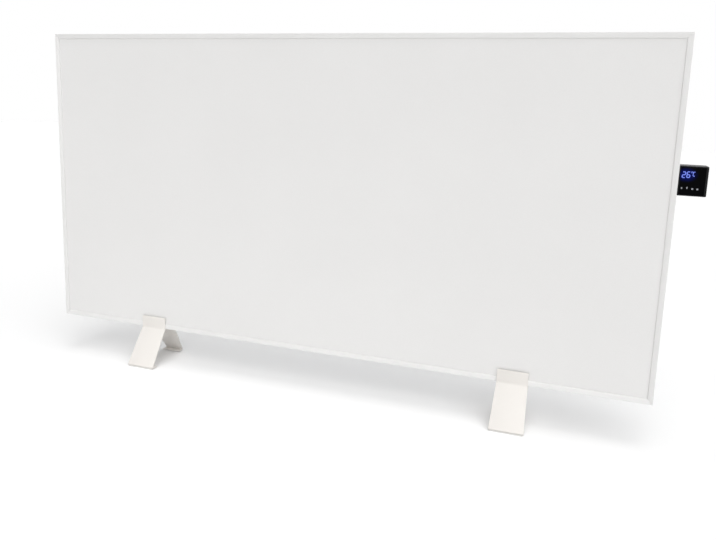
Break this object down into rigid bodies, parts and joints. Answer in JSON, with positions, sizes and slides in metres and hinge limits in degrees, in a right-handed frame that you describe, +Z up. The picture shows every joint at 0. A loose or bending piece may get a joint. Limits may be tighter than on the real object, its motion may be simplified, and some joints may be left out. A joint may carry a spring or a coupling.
{
  "type": "infrared panel heater",
  "caption": "Wide, flat infrared heating panel in a slim frame on sheet-metal clamp feet, with a small display and control housing beyond its right edge.",
  "frame": {"origin": "on the floor, under the middle of the overall width and depth", "axes": "+X to the display side along the panel, +Y from the radiant front to the back, +Z up"},
  "size_m": [1.237, 0.1237, 0.667],
  "materials": {
    "frame_coat": "satin white powder coat on extruded aluminium",
    "sheet_coat": "matt off-white fine-grain powder coat",
    "cover_coat": "light grey coated steel",
    "foot_coat": "warm white powder coat on bent steel",
    "zinc_steel": "zinc plated",
    "black_plastic": "fine-textured black moulding",
    "display_window": "polished dark acrylic",
    "rubber": "black rubber",
    "pad_rubber": "light silicone rubber",
    "heater_laminate": "brown glass-fibre laminate",
    "metal_foil": "bright foil",
    "insulation_fibre": "mineral fibre board",
    "circuit_board": "green solder mask",
    "component_plastic": "moulded component housing",
    "wire_red": "red wire insulation",
    "wire_blue": "blue wire insulation"
  },
  "bodies": {
    "heater": {"frame_bottom": "frame_coat", "frame_top": "frame_coat", "frame_left": "frame_coat", "frame_right": "frame_coat", "corner_key_bottom_left": "zinc_steel", "corner_key_bottom_right": "zinc_steel", "corner_key_top_right": "zinc_steel", "corner_key_top_left": "zinc_steel", "radiant_sheet": "sheet_coat", "edge_gasket": "rubber", "heater_board": "heater_laminate", "heating_track": "metal_foil", "reflective_foil": "metal_foil", "insulation_board": "insulation_fibre", "back_cover": "cover_coat", "hanger_bottom_left": "zinc_steel", "hanger_top_left": "zinc_steel", "hanger_bottom_right": "zinc_steel", "hanger_top_right": "zinc_steel", "control_housing": "black_plastic", "housing_base": "black_plastic", "housing_screw_1": "zinc_steel", "housing_screw_2": "zinc_steel", "housing_screw_3": "zinc_steel", "housing_screw_4": "zinc_steel", "display_bezel": "black_plastic", "display_window": "display_window", "digit_module": "component_plastic", "touch_pads": "rubber", "infrared_receiver": "component_plastic", "display_board": "circuit_board", "power_board": "circuit_board", "relay": "component_plastic", "power_module": "component_plastic", "wireless_module": "zinc_steel", "terminal_block": "component_plastic", "gland_body": "black_plastic", "gland_locknut": "black_plastic", "gland_cap": "black_plastic", "switch_body": "black_plastic", "thermal_cutout": "component_plastic", "wire_grommet": "rubber", "lead_wire_live": "wire_red", "lead_wire_neutral": "wire_blue", "room_sensor": "component_plastic"},
    "rocker": {"switch_rocker": "black_plastic"},
    "foot_left": {"foot_bracket_left": "foot_coat", "foot_pad_left_front": "pad_rubber", "foot_pad_left_rear": "pad_rubber", "clamp_nut_left": "zinc_steel"},
    "clamp_tip_left": {"clamp_tip_left": "rubber"},
    "clamp_screw_left": {"clamp_screw_left": "black_plastic"},
    "foot_right": {"foot_bracket_right": "foot_coat", "foot_pad_right_front": "pad_rubber", "foot_pad_right_rear": "pad_rubber", "clamp_nut_right": "zinc_steel"},
    "clamp_tip_right": {"clamp_tip_right": "rubber"},
    "clamp_screw_right": {"clamp_screw_right": "black_plastic"}
  },
  "joints": [
    {"name": "mains_rocker", "type": "hinge", "parent": "heater", "child": "rocker", "pos_m": [0.5975, 0.0334, 0.4432], "axis": [1, 0, 0], "range_deg": [-20, 0]},
    {"name": "foot_left_slide", "type": "slide", "parent": "heater", "child": "foot_left", "axis": [1, 0, 0], "range_m": [-0.19, 0.25]},
    {"name": "clamp_tip_left_slide", "type": "slide", "parent": "foot_left", "child": "clamp_tip_left", "axis": [0, 1, 0], "range_m": [0, 0.0024]},
    {"name": "clamp_screw_left_turn", "type": "hinge", "parent": "clamp_tip_left", "child": "clamp_screw_left", "pos_m": [-0.39025, 0.025, 0.082], "axis": [0, 1, 0], "range_deg": [0, 1081]},
    {"name": "foot_right_slide", "type": "slide", "parent": "heater", "child": "foot_right", "axis": [1, 0, 0], "range_m": [-0.25, 0.19]},
    {"name": "clamp_tip_right_slide", "type": "slide", "parent": "foot_right", "child": "clamp_tip_right", "axis": [0, 1, 0], "range_m": [0, 0.0024]},
    {"name": "clamp_screw_right_turn", "type": "hinge", "parent": "clamp_tip_right", "child": "clamp_screw_right", "pos_m": [0.34825, 0.025, 0.082], "axis": [0, 1, 0], "range_deg": [0, 1081]}
  ],
  "couplings": [
    {"joint": "clamp_screw_left_turn", "follows": "clamp_tip_left_slide", "rad_per_m": 7854},
    {"joint": "clamp_screw_right_turn", "follows": "clamp_tip_right_slide", "rad_per_m": 7854}
  ]
}
